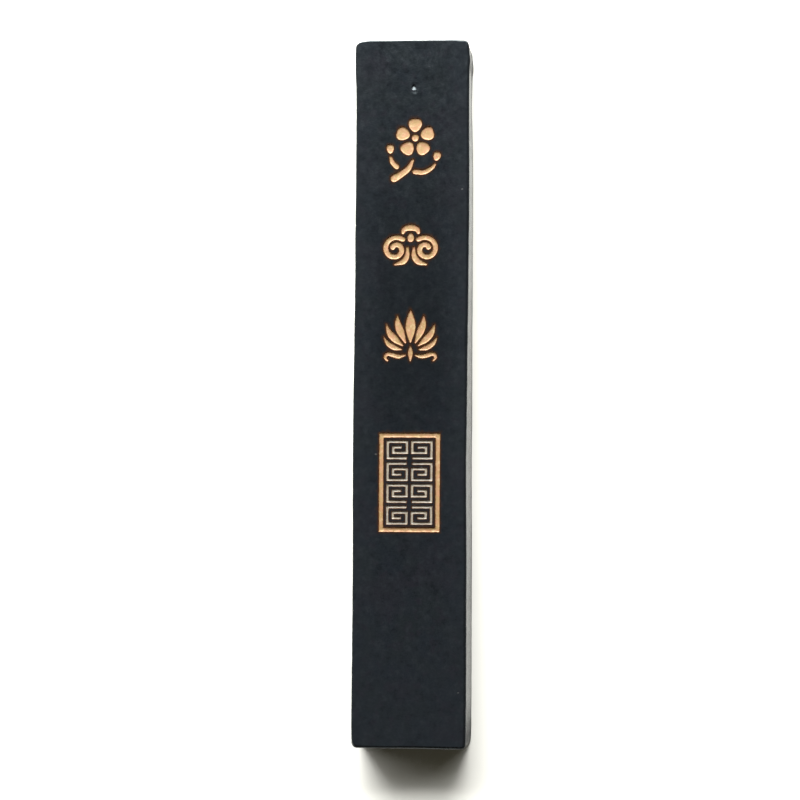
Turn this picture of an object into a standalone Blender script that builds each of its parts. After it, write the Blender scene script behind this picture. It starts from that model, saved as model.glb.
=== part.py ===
"""An ink stick: one pressed black cake whose face carries recessed, painted ornaments.

Metres, +Z up. The stick lies on its plain back. The origin is under its middle, +Y runs to
the head end, where the dimple is, and +Z comes out of the decorated face. The ornaments are
drawn in millimetres about their own centres.
"""

import math

import bmesh
import bpy
from mathutils import Vector

MM = 0.001

# The cake.
LENGTH = 0.148
WIDTH = 0.0236
THICKNESS = 0.0124
CORNER_RADIUS = 0.0012
CORNER_SEGMENTS = 4
EDGE_RADIUS = 0.0005
EDGE_SEGMENTS = 3

# The dimple near the head end: a shallow spherical cap.
DIMPLE_FROM_HEAD = 0.0101
DIMPLE_ASIDE = 0.0005
DIMPLE_DIAMETER = 0.0024
DIMPLE_DEPTH = 0.0007
DIMPLE_SEGMENTS = 20

# The recesses and the paint that lies in them.
RECESS_DEPTH = 0.0006
PAINT_THICKNESS = 0.0003
PAINT_GAP = 0.0001
CUTTER_REACH = 0.001

# Where each ornament's centre lies: millimetres right of the centre line, and from the head end.
BLOSSOM_PLACE = (0.2, 23.0)
CLOUD_PLACE = (-0.2, 43.1)
LOTUS_PLACE = (-0.1, 62.1)
PANEL_PLACE = (-0.1, 92.8)

# The panel: a gold frame around fretwork, in millimetres.
PANEL_WIDTH = 12.75
PANEL_HEIGHT = 20.6
PANEL_BAR = 0.88
FRET_LINE = 0.48
FRET_MARGIN = 0.66
FRET_SPACING = 0.66
FRET_COLUMNS = 2
FRET_ROWS = 4

# The plum blossom's petals, in millimetres.
PETAL_REACH = 2.7
PETAL_LENGTH = 2.9
PETAL_WIDTH = 2.75
PETAL_NOTCH = 0.12

# How the outlines are drawn: points along them, and where a tip is fine enough to be one point.
STEPS = 3
ROUND_WIDTH = 0.3
DISC_POINTS = 12
PETAL_POINTS = 16
PETAL_EGG = 0.22
NOTCH_SPREAD = 0.22
MITRE_LIMIT = 0.5


# Outlines, in millimetres, each a counterclockwise list of 2D points.


def curve_through(knots, steps):
    """Samples of a smooth curve through the knots, steps to a stretch."""
    first = 2 * knots[0] - knots[1]
    last = 2 * knots[-1] - knots[-2]
    row = [first, *knots, last]
    samples = []
    for a, b, c, d in zip(row, row[1:], row[2:], row[3:]):
        for step in range(steps):
            t = step / steps
            bend = (2 * a - 5 * b + 4 * c - d) * t**2 + (3 * b - a - 3 * c + d) * t**3
            samples.append(b + ((c - a) * t + bend) / 2)
    return [*samples, knots[-1]]


def stroke_end(middle, along, width):
    """The points that close a stroke: a half circle, or one point on a fine tip."""
    turns = (-45, 0, 45) if width > ROUND_WIDTH else (0,)
    ahead = along * width / 2
    return [middle + rotated(ahead, turn) for turn in turns]


def rotated(point, degrees):
    angle = math.radians(degrees)
    return Vector(
        (
            point.x * math.cos(angle) - point.y * math.sin(angle),
            point.x * math.sin(angle) + point.y * math.cos(angle),
        )
    )


def brush_stroke(*knots, steps=STEPS):
    """Outline of a stroke through knots of (x, y, width)."""
    line = curve_through([Vector(knot) for knot in knots], steps)
    left, right, headings = [], [], []
    for index, knot in enumerate(line):
        ahead = line[min(index + 1, len(line) - 1)]
        behind = line[max(index - 1, 0)]
        along = (ahead - behind).xy.normalized()
        across = rotated(along, 90) * knot.z / 2
        left.append(knot.xy + across)
        right.append(knot.xy - across)
        headings.append(along)
    far = stroke_end(line[-1].xy, headings[-1], line[-1].z)
    near = stroke_end(line[0].xy, -headings[0], line[0].z)
    return [*right, *far, *reversed(left), *near]


def volute(centre, start, turn, radii, widths, knots=22):
    """A stroke that winds inwards around a centre, through turn degrees (negative: clockwise)."""
    line = []
    for index in range(knots):
        share = index / (knots - 1)
        arm = rotated(Vector((1, 0)), start + turn * share)
        arm *= radii[0] + (radii[1] - radii[0]) * share
        width = widths[0] + (widths[1] - widths[0]) * share
        line.append((centre[0] + arm.x, centre[1] + arm.y, width))
    return brush_stroke(*line, steps=1)


def disc(centre, diameter):
    middle = Vector(centre)
    arm = Vector((diameter / 2, 0))
    return [middle + rotated(arm, 360 * n / DISC_POINTS) for n in range(DISC_POINTS)]


def petal(middle, direction, length, width, notch=0.0):
    """An egg shape whose broad end points in the direction, and may be faintly notched."""
    outline = []
    for index in range(PETAL_POINTS):
        angle = 2 * math.pi * index / PETAL_POINTS
        dent = notch * math.exp(-((math.sin(angle / 2) / NOTCH_SPREAD) ** 2))
        along = length / 2 * math.cos(angle) - dent
        across = width / 2 * math.sin(angle) * (1 + PETAL_EGG * math.cos(angle))
        outline.append(Vector(middle) + rotated(Vector((along, across)), direction))
    return outline


def band(corners, width):
    """Outline of a line of even width with square corners and ends."""
    left, right = [], []
    for index, corner in enumerate(corners):
        into = corner - corners[index - 1] if index else corners[1] - corner
        out = corners[index + 1] - corner if index + 1 < len(corners) else into
        into, out = into.normalized(), out.normalized()
        mitre = rotated(into + out, 90) / (1 + into.dot(out)) * width / 2
        left.append(corner + mitre)
        right.append(corner - mitre)
    return [*right, *reversed(left)]


def rectangle(width, height):
    x, y = width / 2, height / 2
    return [Vector(corner) for corner in ((-x, -y), (x, -y), (x, y), (-x, y))]


def mirrored(outline):
    return [Vector((-point.x, point.y)) for point in reversed(outline)]


def grown(outline, by):
    """The outline moved outwards, along the bisector of each corner."""
    moved = []
    for index, point in enumerate(outline):
        into = (point - outline[index - 1]).normalized()
        out = (outline[(index + 1) % len(outline)] - point).normalized()
        outward = rotated(into + out, -90) / max(1 + into.dot(out), MITRE_LIMIT)
        moved.append(point + outward * by)
    return moved


# The ornaments: each a dictionary of node name and outline about the ornament's centre.


def blossom():
    """A plum blossom over a forked twig with two buds."""
    middle = Vector((0.4, 2.55))
    strokes = {}
    for number in range(5):
        direction = 90 + 72 * number
        place = middle + rotated(Vector((PETAL_REACH, 0)), direction)
        outline = petal(place, direction, PETAL_LENGTH, PETAL_WIDTH, PETAL_NOTCH)
        strokes[f"blossom_petal_{number + 1}"] = outline
    strokes["blossom_centre"] = disc(middle, 1.5)
    strokes["twig"] = brush_stroke(
        (-4.0, -6.0, 1.5), (-2.6, -5.15, 1.35), (-1.0, -3.9, 1.15), (-0.1, -2.2, 0.55)
    )
    strokes["twig_left"] = brush_stroke(
        (-3.45, -3.55, 1.05), (-4.35, -2.6, 0.95), (-4.75, -1.5, 0.55)
    )
    strokes["twig_right"] = brush_stroke(
        (0.4, -4.6, 1.05), (2.3, -4.7, 1.0), (3.9, -3.85, 0.8), (4.6, -3.05, 0.5)
    )
    strokes["bud_left"] = petal((-4.85, 0.2), 95, 1.95, 1.5)
    strokes["bud_right"] = petal((5.0, -1.4), 75, 1.95, 1.5)
    return strokes


def cloud():
    """A cloud scroll: two volutes under a crest, a drop inside, and two trailing wisps."""
    half = {
        "cloud_volute": volute((3.2, -0.75), 128, -455, (2.55, 0.68), (1.0, 1.1)),
        "cloud_wisp": brush_stroke(
            (0.68, -0.5, 0.5), (0.7, -2.0, 0.95), (1.5, -3.35, 1.2), (3.3, -4.0, 0.45)
        ),
    }
    strokes = {}
    for name, outline in half.items():
        strokes[f"{name}_right"] = outline
        strokes[f"{name}_left"] = mirrored(outline)
    strokes["cloud_crest"] = brush_stroke(
        (-1.65, 2.7, 0.7),
        (-1.3, 3.4, 1.05),
        (0.0, 3.75, 1.3),
        (1.3, 3.4, 1.05),
        (1.65, 2.7, 0.7),
    )
    strokes["cloud_drop"] = petal((0.0, 1.65), -90, 1.9, 1.35)
    return strokes


def lotus():
    """A lotus palmette: seven pointed petals over a pair of scrolls and a drop."""
    half = {
        "lotus_petal_inner": brush_stroke(
            (1.05, -1.45, 0.3), (2.05, 0.8, 1.5), (2.65, 2.5, 1.25), (2.8, 4.3, 0.1)
        ),
        "lotus_petal_middle": brush_stroke(
            (1.6, -2.05, 0.3), (3.25, -0.7, 1.35), (4.45, 0.7, 1.15), (5.1, 2.45, 0.1)
        ),
        "lotus_petal_outer": brush_stroke(
            (1.85, -2.85, 0.3), (3.3, -2.5, 1.05), (4.75, -1.6, 0.9), (5.6, -0.2, 0.1)
        ),
        "lotus_scroll": brush_stroke(
            (1.1, -4.05, 0.4),
            (2.4, -4.3, 0.85),
            (3.7, -4.0, 0.9),
            (4.8, -3.8, 0.75),
            (5.3, -4.5, 0.6),
            (4.8, -5.15, 0.4),
        ),
    }
    strokes = {}
    for name, outline in half.items():
        strokes[f"{name}_right"] = outline
        strokes[f"{name}_left"] = mirrored(outline)
    strokes["lotus_petal_top"] = brush_stroke(
        (0.0, -1.3, 0.3), (0.0, 1.3, 1.95), (0.0, 3.3, 1.7), (0.0, 5.45, 0.1)
    )
    strokes["lotus_drop"] = brush_stroke(
        (0.0, -2.1, 0.15), (0.0, -3.3, 0.95), (0.0, -4.3, 0.8), (0.0, -5.4, 0.1)
    )
    return strokes


def frets():
    """The panel's inside: squared spirals, each the mirror image of its neighbour."""
    inside_width = PANEL_WIDTH - 2 * PANEL_BAR - 2 * FRET_MARGIN
    inside_height = PANEL_HEIGHT - 2 * PANEL_BAR - 2 * FRET_MARGIN
    across = (inside_width - (FRET_COLUMNS - 1) * FRET_SPACING) / FRET_COLUMNS
    up = (inside_height - (FRET_ROWS - 1) * FRET_SPACING) / FRET_ROWS
    x, y = (across - FRET_LINE) / 2, (up - FRET_LINE) / 2
    pitch = FRET_LINE + FRET_SPACING
    corners = [
        (-x, -y), (x, -y), (x, y), (-x, y),
        (-x, pitch - y), (x - pitch, pitch - y), (x - pitch, y - pitch), (pitch - x, y - pitch),
    ]
    spiral = band([Vector(corner) for corner in corners], FRET_LINE)
    strokes = {}
    for row in range(FRET_ROWS):
        for column in range(FRET_COLUMNS):
            middle = Vector(
                (
                    (column - (FRET_COLUMNS - 1) / 2) * (across + FRET_SPACING),
                    ((FRET_ROWS - 1) / 2 - row) * (up + FRET_SPACING),
                )
            )
            shape = spiral if column else mirrored(spiral)
            if row % 2:
                shape = [Vector((point.x, -point.y)) for point in reversed(shape)]
            strokes[f"fret_{row + 1}_{column + 1}"] = [middle + point for point in shape]
    return strokes


# Solids.


def on_face(point, place):
    """A point of an ornament, in metres on the face of the cake."""
    aside, from_head = place
    return Vector(((point.x + aside) * MM, LENGTH / 2 + (point.y - from_head) * MM))


def material(name, colour, roughness, metallic):
    made = bpy.data.materials.new(name)
    made.use_nodes = True
    shader = made.node_tree.nodes["Principled BSDF"]
    shader.inputs["Base Color"].default_value = (*colour, 1)
    shader.inputs["Roughness"].default_value = roughness
    shader.inputs["Metallic"].default_value = metallic
    return made


def new_object(name, shape, finish=None):
    mesh = bpy.data.meshes.new(name)
    shape.to_mesh(mesh)
    shape.free()
    made = bpy.data.objects.new(name, mesh)
    bpy.context.scene.collection.objects.link(made)
    if finish:
        mesh.materials.append(finish)
    return made


def add_prism(shape, outline, low, high):
    """A closed prism over an outline given in metres, added to a bmesh."""
    rings = [[shape.verts.new((*point, z)) for point in outline] for z in (low, high)]
    shape.faces.new(reversed(rings[0]))
    shape.faces.new(rings[1])
    add_wall(shape, *rings)


def add_wall(shape, lower, upper):
    """The faces between two rings of vertices, facing out of a counterclockwise ring."""
    count = len(lower)
    for index in range(count):
        after = (index + 1) % count
        shape.faces.new((lower[index], lower[after], upper[after], upper[index]))


def add_ring(shape, outer, inner, low, high):
    """A closed frame between two outlines of as many points, added to a bmesh."""
    rings = {
        (edge, z): [shape.verts.new((*point, z)) for point in outline]
        for edge, outline in (("outer", outer), ("inner", inner))
        for z in (low, high)
    }
    add_wall(shape, rings["outer", low], rings["outer", high])
    add_wall(shape, rings["inner", high], rings["inner", low])
    add_wall(shape, rings["outer", high], rings["inner", high])
    add_wall(shape, rings["inner", low], rings["outer", low])


def paint_fill(name, outline, finish):
    top = THICKNESS - RECESS_DEPTH + PAINT_GAP + PAINT_THICKNESS
    shape = bmesh.new()
    add_prism(shape, outline, top - PAINT_THICKNESS, top)
    return new_object(name, shape, finish)


def panel_rings(growth):
    """The outer and inner outlines of the panel's frame, in metres, with growth in millimetres."""
    outlines = []
    for inset, outwards in ((0, 1), (PANEL_BAR, -1)):
        size = 2 * (outwards * growth - inset)
        outline = rectangle(PANEL_WIDTH + size, PANEL_HEIGHT + size)
        outlines.append([on_face(point, PANEL_PLACE) for point in outline])
    return outlines


def panel_frame(finish):
    top = THICKNESS - RECESS_DEPTH + PAINT_GAP + PAINT_THICKNESS
    shape = bmesh.new()
    add_ring(shape, *panel_rings(0), top - PAINT_THICKNESS, top)
    return new_object("panel_frame", shape, finish)


def recess_cutter(ornaments):
    """All the recesses and the dimple as one cutter, which reaches out of the face."""
    low, high = THICKNESS - RECESS_DEPTH, THICKNESS + CUTTER_REACH
    shape = bmesh.new()
    for strokes, place in ornaments:
        for outline in strokes.values():
            wider = grown(outline, PAINT_GAP / MM)
            add_prism(shape, [on_face(point, place) for point in wider], low, high)
    add_ring(shape, *panel_rings(PAINT_GAP / MM), low, high)
    add_dimple(shape)
    return new_object("recess_cutter", shape)


def add_dimple(shape):
    """The ball whose lowest part presses the dimple."""
    ball_radius = ((DIMPLE_DIAMETER / 2) ** 2 + DIMPLE_DEPTH**2) / (2 * DIMPLE_DEPTH)
    ball = bmesh.ops.create_uvsphere(
        shape,
        u_segments=DIMPLE_SEGMENTS,
        v_segments=DIMPLE_SEGMENTS // 2,
        radius=ball_radius,
    )
    place = Vector(
        (DIMPLE_ASIDE, LENGTH / 2 - DIMPLE_FROM_HEAD, THICKNESS - DIMPLE_DEPTH + ball_radius)
    )
    bmesh.ops.translate(shape, verts=ball["verts"], vec=place)


def upright(edge):
    low, high = edge.verts
    return abs(low.co.z - high.co.z) > THICKNESS / 2


def level(edge):
    low, high = edge.verts
    return abs(low.co.z - high.co.z) < THICKNESS / 1000


def ink_cake(cutter, finish):
    """The pressed cake: a bar with rounded corners and softened edges, less the recesses."""
    shape = bmesh.new()
    bmesh.ops.create_cube(shape, size=1)
    bmesh.ops.scale(shape, verts=shape.verts, vec=(WIDTH, LENGTH, THICKNESS))
    bmesh.ops.translate(shape, verts=shape.verts, vec=(0, 0, THICKNESS / 2))
    for chosen, radius, segments in (
        (upright, CORNER_RADIUS, CORNER_SEGMENTS),
        (level, EDGE_RADIUS, EDGE_SEGMENTS),
    ):
        bmesh.ops.bevel(
            shape,
            geom=[edge for edge in shape.edges if chosen(edge)],
            offset=radius,
            segments=segments,
            profile=0.5,
            affect="EDGES",
        )
    cake = new_object("ink_cake", shape, finish)
    cut = cake.modifiers.new("recesses", "BOOLEAN")
    cut.operation = "DIFFERENCE"
    cut.solver = "EXACT"
    cut.object = cutter
    return cake


def main():
    for old in list(bpy.data.objects):
        bpy.data.objects.remove(old)
    ink = material("pressed_ink", (0.012, 0.014, 0.016), 0.45, 0.0)
    gold = material("gold_paint", (0.62, 0.38, 0.19), 0.45, 0.35)
    pale_gold = material("pale_gold_paint", (0.62, 0.54, 0.40), 0.45, 0.35)
    painted = (
        (blossom(), BLOSSOM_PLACE, gold),
        (cloud(), CLOUD_PLACE, gold),
        (lotus(), LOTUS_PLACE, gold),
        (frets(), PANEL_PLACE, pale_gold),
    )
    for strokes, place, finish in painted:
        for name, outline in strokes.items():
            paint_fill(name, [on_face(point, place) for point in outline], finish)
    panel_frame(gold)
    cutter = recess_cutter([(strokes, place) for strokes, place, _ in painted])
    cutter.hide_render = True
    cutter.display_type = "WIRE"
    ink_cake(cutter, ink)


main()
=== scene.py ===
"""The looks of the ink stick: a finely made cake and a paint film for every recess in it.

Lengths are in millimetres unless a name or a comment says metres. The outlines of the ornaments,
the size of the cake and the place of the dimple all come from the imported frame. A name that ends
in SWAY holds layers of noise: how high each one is, how wide its bumps are, and its seed.
"""

import copy
import math

import bpy
import numpy as np
from mathutils import Matrix, Vector, geometry


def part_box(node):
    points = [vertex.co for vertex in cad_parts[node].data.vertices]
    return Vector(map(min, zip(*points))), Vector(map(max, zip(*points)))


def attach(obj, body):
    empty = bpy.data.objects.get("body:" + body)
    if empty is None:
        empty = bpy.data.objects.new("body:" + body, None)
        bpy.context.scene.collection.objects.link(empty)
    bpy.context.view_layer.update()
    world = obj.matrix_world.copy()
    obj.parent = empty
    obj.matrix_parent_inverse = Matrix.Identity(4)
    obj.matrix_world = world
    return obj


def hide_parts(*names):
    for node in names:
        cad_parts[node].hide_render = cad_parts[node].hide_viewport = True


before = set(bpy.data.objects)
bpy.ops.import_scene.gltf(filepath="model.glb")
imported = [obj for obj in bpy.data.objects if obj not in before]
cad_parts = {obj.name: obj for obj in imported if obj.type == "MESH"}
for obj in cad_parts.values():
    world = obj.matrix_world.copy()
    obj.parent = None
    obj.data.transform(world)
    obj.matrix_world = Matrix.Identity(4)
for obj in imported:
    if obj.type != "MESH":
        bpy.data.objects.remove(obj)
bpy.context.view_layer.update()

MM = 0.001
# Anything smaller than this counts as nothing.
TINY = 1e-6

# The cake, from the frame.
HALF_WIDTH, HALF_LENGTH, THICKNESS = np.array(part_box("ink_cake")[1]) / MM
GOLD_NODES = sorted(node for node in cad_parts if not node.startswith(("fret_", "ink_")))
FRET_NODES = sorted(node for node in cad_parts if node.startswith("fret_"))

# How the strokes' outlines are smoothed: a corner that turns more than this many degrees stays sharp.
SHARP_CORNER = 52
CURVE_SPACING = 0.12
# A loop that is spread evenly gets at least this many points.
FEWEST_POINTS = 8

# The outline of the cake seen from above. Corners run counterclockwise from the right of the head.
OUTLINE_SPACING = 0.35
OUTLINE_GROWTH = 0.03
OUTLINE_STRETCH = 1.0016
OUTLINE_SMOOTHINGS = 2
OUTLINE_SWAY = ((0.04, 11, 11), (0.02, 2.3, 12), (0.008, 0.8, 13))
CORNER_RADII = (1.0, 0.65, 0.62, 0.6)
CORNER_FLATNESS = (0.15, 0.7, 0.9, 0.2)
CORNER_POINTS = 13
# How far the left corner of the head falls short, how far aside that starts, and how far along it goes.
HEAD_DROOP = 0.32
HEAD_DROOP_START = 8.8
HEAD_DROOP_REACH = 3
# Where a long side stands out or draws in: side, distance from the head, half-length, how far out.
SIDE_BENDS = (
    (1, 4.2, 1.5, 0.2), (1, 34, 24, 0.26), (1, 94, 12, -0.16), (1, 118, 36, 0.16), (1, 142, 14, 0.14),
    (-1, 1, 9, 0.26), (-1, 6, 5, 0.15), (-1, 44, 30, 0.05), (-1, 86, 27, 0.23), (-1, 142, 12, 0.07),
)
# How far the foot of the right side stands out beyond its top: everywhere, more towards the foot
# end, and more or less round some places along the stick (place, half-length, how much).
RIGHT_LEAN = -0.24
RIGHT_TWIST = 0.25
RIGHT_BULGES = ((-12, 26, 0.22), (62, 6, -0.2))
# Points this far inside the left side have none of that lean, and from there it grows until it is full
# this far inside the right side.
LEAN_INSET = 2
# How far the foot of the cake draws in below its right foot-end corner, and over what reach.
CORNER_DRAW = (0.22, 1.4)

# The softened edge round the face: how wide it is, how far it falls for that, and how flat it is.
EDGE_WIDTHS = {"left": 0.2, "right": 0.52, "head": 0.12, "foot": 0.5}
EDGE_STEEPNESS = {"left": 1.0, "right": 0.7, "head": 2.0, "foot": 0.85}
EDGE_FLATNESS = 0.7
EDGE_SWAY = ((0.12, 5, 31), (0.08, 1.1, 32))
EDGE_RINGS = 6
# Between the four sides: the left side's value gives way to the right's between points this far inside
# the two, and an end's value takes over from the first of these distances from it to the second.
SIDE_INSET = 1
END_BLEND = (1.5, 0.3)
# Small nicks in that edge: aside of the middle, distance from the head, reach, how much is gone.
EDGE_NICKS = (
    (-11.4, 4.5, 0.5, 0.25), (11.5, 64.5, 0.6, 0.2), (10.2, 0.3, 0.8, 0.2), (-11.3, 147.0, 0.9, 0.3),
)
# The sides, the thin flash that the mould leaves round their foot, and the edge round the back.
SIDE_RINGS = 15
SIDE_HOLLOW = 0.03
SIDE_SWAY = ((0.035, 6, 51), (0.015, 1.6, 52))
# How quickly that sway grows from the top and the bottom of a side.
SIDE_GROWTH = 6
FLASH_TOP = 0.75
FLASH_OUT = 0.06
FLASH_SWAY = ((0.25, 9, 53),)
FLASH_RISE = 0.2
FLASH_RINGS = 4
BACK_RADIUS = 0.35
BACK_RINGS = 4
# The flat of the back rises a little towards its middle: how far, and where from and to.
BACK_RISE = 0.02
BACK_RISE_RANGE = (0.5, 4)
BACK_SWAY = ((1, 9, 61),)
# The face is not quite flat: its middle is sunk by this much.
FACE_HOLLOW = 0.035
FACE_SWAY = ((0.03, 17, 21), (0.012, 4.5, 22), (0.004, 1.4, 23))

# The points of the face and the back: rings inside the rim, and triangular lattices with a spacing
# and a seed. How much closer a lattice's rows are than its points, and how far a point is moved, are
# shares of the spacing. Lattices stay clear of the rim, the dimple, the cuts and their walls.
HOLDING_INSETS = (0.12, 0.4)
FACE_LATTICE = (0.55, 41)
STROKE_LATTICE = (0.3, 42)
BACK_LATTICE = (1.6, 43)
BACK_CLEARANCE = 0.8
LATTICE_PITCH = 0.87
LATTICE_SHIFT = 0.22
RIM_CLEARANCE = 0.3
DIMPLE_CLEARANCE = 0.2
CUT_CLEARANCE = 0.12
WALL_CLEARANCE = 0.1

# Recesses: how the cut runs from the face down to its floor, by distance into the stroke, and at which
# of those distances the mesh has a loop of points round it.
FLOOR_DEPTH = 0.27
BELLY_DEPTH = 0.04
BELLY_END = 1.1
WALL_START = -0.09
WALL_END = 0.08
RECESS_LEVELS = (-0.2, -0.1, 0.0, 0.04, 0.08)
CUT_SWAY = ((0.018, 0.9, 3), (0.01, 0.35, 4))
CONTOUR_SPACING = 0.16
SHORTEST_CONTOUR = 12
# The grid that measures how far a point lies inside a stroke.
GRID_STEP = 0.05
GRID_MARGIN = 0.6
GRID_REACH = 0.5
SOFTENING_STEPS = 4
SOFTENING_REACH = 1.3
# How Blender's triangulation is called: it keeps what is inside, and joins points this close.
CDT_INSIDE = 1
CDT_CLOSENESS = 1e-6

# Paint films: the distance into a stroke at which they end, their gap over the cut, how thick they are
# at the edge and in the body, how far in the body starts, and how the paint pooled there.
FILM_LEVEL = -0.1
FILM_SWAY = ((0.018, 0.55, 5), (0.012, 0.24, 6))
FILM_CLEARANCE = 0.006
FILM_EDGE = 0.01
FILM_BODY = 0.03
FILM_BODY_START = 0.2
POOLING_SWAY = ((0.35, 0.7, 71), (0.2, 0.3, 72))

# Painted shade and sheen: how strongly the rim of the face beside its edge is darkened as painted
# shade, how far aside the face starts to be lightened as a painted sheen and is fully so, and how far
# towards the foot it is lightened too, both as shares of the cake's half-width and -length.
RIM_SHADE = 0.35
SHEEN_ASIDE = (0.35, 0.95)
LIGHTER_FOOT = (0.45, 1)
# Where painted shade darkens the middle of the face: its place along the stick, and its half-length.
MIDDLE_SHADE_PLACE = (17, 34)

# The right side is dull: by how much everywhere, and how much more at the foot end. At the head it is
# fully dull. How far below the face this starts and is full, and how far inside the right side. The
# dull ends are full up to the first of their distances from the head or foot, and gone at the second.
DULL_BASE = 0.39
DULL_FOOT = 0.44
DULL_SWAY = ((0.05, 6, 63),)
DULL_BELOW = (0.2, 0.8)
DULL_ASIDE = (2, 1)
DULL_NEAR_HEAD = (5.0, 8.5)
DULL_NEAR_FOOT = (2.0, 12.0)
# How much less dull it is round one place along the stick, that place, and the half-length of it.
DULL_DIP = (0.28, 46, 26)

# A painted shade: a dark brown band on the face round each cut, where its rim is shaded. The distances
# into a stroke at which it starts and is full, how strong it is in the fretwork, and the distances out of
# that between which it grows to its full strength.
CUT_SHADE_RANGE = (-0.32, -0.1)
FRET_CUT_SHADE = 0.3
FRET_CUT_SHADE_END = (0.1, 0.5)

# The dimple. How deep the frame's cake is pressed where it is looked for, and how far from its head.
DIMPLE_SEARCH_DEPTH = 0.55
DIMPLE_SEARCH_RANGE = (5, 15)
# Its hollow: where its middle is (aside, and towards the head), how deep it is, how far it goes to
# each side, to the head and to the foot, and how its floor curves.
DIMPLE_SHIFT = (0.0, 0.65)
DIMPLE_DEPTH = 0.12
DIMPLE_ASIDE = 1.05
DIMPLE_TO_HEAD = 0.8
DIMPLE_TO_FOOT = 1.9
DIMPLE_CURVE = 1.25
# The lip on its foot side: how far out it runs, how wide and high it is, and how it fades sideways.
LIP_RADIUS = 1.95
LIP_WIDTH = 0.28
LIP_HEIGHT = 0.010
LIP_TURN = (0.2, 0.9)
# The rings of points that the face has round it.
DIMPLE_REACH = 2.7
DIMPLE_RINGS = 26
DIMPLE_FIRST_RING = 0.1
DIMPLE_SPOKES = 44
# The smooth slanted facet that the point of the tool left in it: where its middle is (aside, and
# towards the head), its reach aside and along, its depth there, how steeply it rises to the foot, and
# between which shares of its reach it fades out.
FACET_PLACE = (-0.24, 0.21)
FACET_REACH = (0.36, 0.55)
FACET_DEPTH = 0.32
FACET_SLOPE = 0.54
FACET_EDGE = (0.8, 1.25)

# Colours, as linear light. The first ink is the ground that the others are washed over.
INK_BLUE = (0.0052, 0.0069, 0.0096, 1)
INK_GREEN = (0.0056, 0.0073, 0.0087, 1)
INK_PURPLE = (0.0073, 0.0067, 0.0098, 1)
# Light ink also paints sheen on the long sides and lightens the foot end; dark ink paints shade in the
# middle.
INK_LIGHT = (0.0088, 0.0104, 0.0130, 1)
INK_DARK = (0.0031, 0.0040, 0.0053, 1)
# A painted shade on the softened edge round the face.
INK_EDGE_SHADE = (0.0030, 0.0034, 0.0038, 1)
INK_BARE = (0.0420, 0.0150, 0.0050, 1)
# A painted shade: the dark brown band round each cut.
INK_CUT_SHADE = (0.0210, 0.0080, 0.0030, 1)
DUST = (0.0900, 0.0920, 0.0900, 1)
INK_SHEEN = (0.80, 0.94, 1.0, 1)
GOLD_OCHRE = (0.2450, 0.1590, 0.0670, 1)
GOLD_PEACH = (0.2900, 0.1490, 0.0800, 1)
GOLD_CREAM = (0.3490, 0.2530, 0.1450, 1)
GOLD_DARK = (0.1500, 0.0620, 0.0220, 1)
PALE_BUFF = (0.2200, 0.1870, 0.1395, 1)
PALE_GREY = (0.1980, 0.1870, 0.1650, 1)
PALE_CREAM = (0.2930, 0.2640, 0.2200, 1)
PALE_DARK = (0.1200, 0.0950, 0.0650, 1)

# Shader noise: the size of its bumps, its detail, its roughness, and how far it is shifted. Most of
# its values lie in the middle range.
INK_NOISE = {
    "cloudy": (5.0, 3, 0.55, 1.0), "mottled": (1.3, 3, 0.6, 2.0), "tinted": (1.9, 2, 0.5, 4.0),
    "grain": (0.3, 2, 0.6, 3.0), "washed": (9.0, 2, 0.5, 7.0),
}
PAINT_NOISE = {
    "patchy": (1.1, 3, 0.6, 11.0), "streaky": (0.6, 3, 0.6, 13.0), "flecks": (0.18, 2, 0.65, 12.0),
}
NOISE_MIDDLE = (0.3, 0.7)
# Washes, in order: the noise that one follows, the values at which it starts and is full, and how
# strong it is then. Painted sheen and shade on the ink go by numbers kept on the mesh instead.
INK_WASHES = (
    ("cloudy", 0.35, 0.65, 1, INK_GREEN), ("tinted", 0.52, 0.68, 0.7, INK_PURPLE),
    ("washed", 0.5, 0.68, 0.6, INK_PURPLE), ("mottled", 0.5, 0.72, 0.9, INK_LIGHT),
    ("mottled", 0.48, 0.3, 0.85, INK_DARK), ("grain", 0.4, 0.7, 0.5, INK_LIGHT),
)
PAINTED_INK_SHADING = (("rubbed", 0.35, INK_LIGHT), ("held", 0.7, INK_DARK), ("worn", 0.5, INK_EDGE_SHADE))
PAINT_WASHES = (("patchy", 0.4, 0.62, 1), ("streaky", 0.5, 0.7, 0.8), ("flecks", 0.48, 0.25, 0.5))
# Specks of dust on the ink: cells to a millimetre, how they are stretched, which shade of cell has a
# speck and which has the largest, the radius of that one in cells, and how strong the specks are.
DUST_SCALE = 0.45
DUST_STRETCH = (1.6, 1, 1)
DUST_SHADES = (0.82, 1.0)
DUST_RADIUS = 0.08
DUST_STRENGTH = 0.35
# Gloss. The painted shade round the cuts is patchy, and follows the mottling. What is left of the shine on
# dull ink falls by a power, down to the least. A bump is how high it is and how strong.
INK_ROUGHNESS = (0.165, 0.241)
POLISHED_ROUGHNESS = 0.16
PAINT_ROUGHNESS = (0.38, 0.55)
INK_SHINE = 0.46
PAINT_SHINE = 0.5
CUT_EDGE_SHINE = 0.08
CUT_SHADE_PATCHES = (0.3, 0.6, 0.5, 1.0)
DULL_CURVE = 3.0
LEAST_SHINE = 0.005
INK_INDEX = 1.5
GOLD_METALLIC = 0.2
PALE_METALLIC = 0.15
MOTTLE_BUMP = (0.035, 0.38)
GRAIN_BUMP = (0.012, 0.5)
STREAK_BUMP = (0.04, 0.5)
FLECK_BUMP = (0.02, 0.6)
# The distance into the paint at which it starts to darken towards its edge and is dark, that at which
# it starts to thin out and is gone, and how far streaks move both.
DARK_EDGE = (0.155, 0.115)
BARE_EDGE = (0.125, 0.09)
FRAYING = 0.025

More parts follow.
